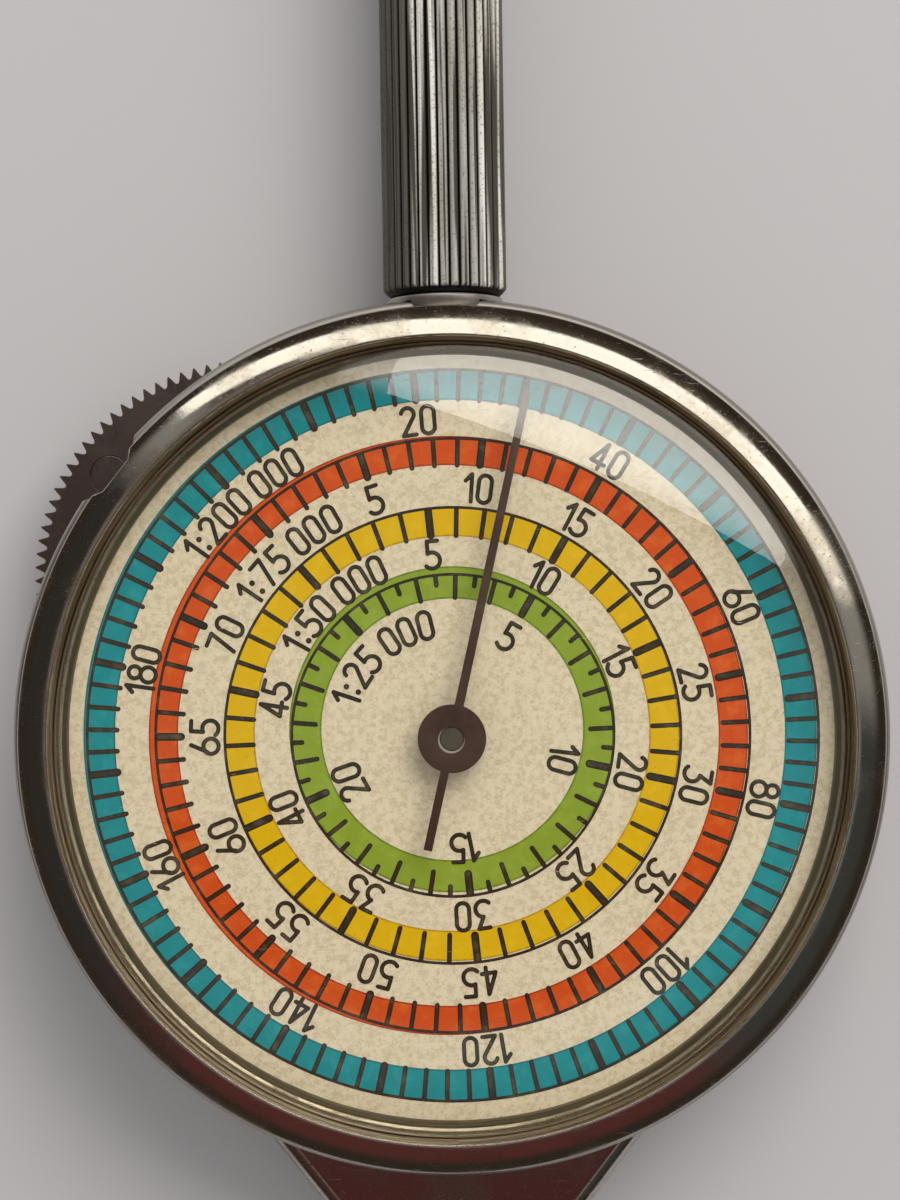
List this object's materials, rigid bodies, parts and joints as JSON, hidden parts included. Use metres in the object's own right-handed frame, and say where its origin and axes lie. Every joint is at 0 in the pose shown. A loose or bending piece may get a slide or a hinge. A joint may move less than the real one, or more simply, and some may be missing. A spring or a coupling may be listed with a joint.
{
  "type": "opisometer map measurer",
  "caption": "Hand-held map measurer: round plated case with a four-scale dial under a domed crystal, one hand, a toothed setting wheel, a tracking wheel on a nose and a fluted handle.",
  "frame": {"origin": "the hand's axis where it meets the flat back of the case, which is the face that the part rests on", "axes": "+Y along the handle, away from the tracking wheel; +Z out of the dial along the hand's axis; +X to the right as the dial is read"},
  "size_m": [0.035, 0.0825, 0.0092],
  "materials": {
    "plated_shell": "worn bright nickel plating",
    "plated_rim": "worn bright nickel plating, fine scratches",
    "plated_handle": "worn nickel plating over straight flutes",
    "clear_crystal": "clear domed acrylic, fine scratches",
    "spacer_metal": "satin",
    "dial_paper": "aged printed paper",
    "hand_enamel": "dark brown satin",
    "setting_steel": "brushed, slightly browned",
    "arbor_steel": "turned",
    "brass": "brushed"
  },
  "bodies": {
    "case": {"rear_case": "plated_shell", "front_case": "plated_shell", "bezel": "plated_rim", "crystal": "clear_crystal", "spacer_ring": "spacer_metal", "dial_plate": "brass", "dial_print": "dial_paper", "setting_stud": "arbor_steel", "setting_screw": "arbor_steel", "rear_plate": "brass", "front_plate": "brass", "rear_bush": "brass", "front_bush": "brass", "pillars": "brass", "plate_screws": "arbor_steel", "case_screws": "arbor_steel", "idler_stud": "arbor_steel", "tracking_spacer": "brass", "tracking_axle": "arbor_steel", "handle_boss": "plated_rim", "handle_grip": "plated_handle"},
    "hand_train": {"hand": "hand_enamel", "hand_arbor": "arbor_steel", "centre_pinion": "arbor_steel", "centre_wheel": "brass", "friction_spring": "arbor_steel", "clutch_collet": "brass"},
    "setting": {"setting_wheel": "setting_steel"},
    "intermediate": {"intermediate_arbor": "arbor_steel", "intermediate_collet": "brass", "intermediate_wheel": "brass", "intermediate_pinion": "arbor_steel"},
    "idler": {"idler_wheel": "brass"},
    "tracking": {"tracking_wheel": "setting_steel", "tracking_pinion": "arbor_steel"}
  },
  "joints": [
    {"name": "hand_turn", "type": "hinge", "parent": "case", "child": "hand_train", "pos_m": [0, 0, 0.0062], "axis": [0, 0, 1], "continuous": true},
    {"name": "setting_turn", "type": "hinge", "parent": "case", "child": "setting", "pos_m": [-0.00811, 0.00657, 0.0028], "axis": [0, 0, 1], "continuous": true},
    {"name": "intermediate_turn", "type": "hinge", "parent": "case", "child": "intermediate", "pos_m": [0, -0.01265, 0.003], "axis": [0, 0, 1], "continuous": true},
    {"name": "idler_turn", "type": "hinge", "parent": "case", "child": "idler", "pos_m": [0, -0.0214, 0.0033], "axis": [0, 0, 1], "continuous": true},
    {"name": "tracking_turn", "type": "hinge", "parent": "case", "child": "tracking", "pos_m": [0, -0.02515, 0.002], "axis": [0, 0, 1], "continuous": true}
  ],
  "couplings": [
    {"joint": "setting_turn", "follows": "hand_turn", "ratio": -0.2},
    {"joint": "intermediate_turn", "follows": "hand_turn", "ratio": -10},
    {"joint": "idler_turn", "follows": "hand_turn", "ratio": 25},
    {"joint": "tracking_turn", "follows": "hand_turn", "ratio": -50}
  ]
}
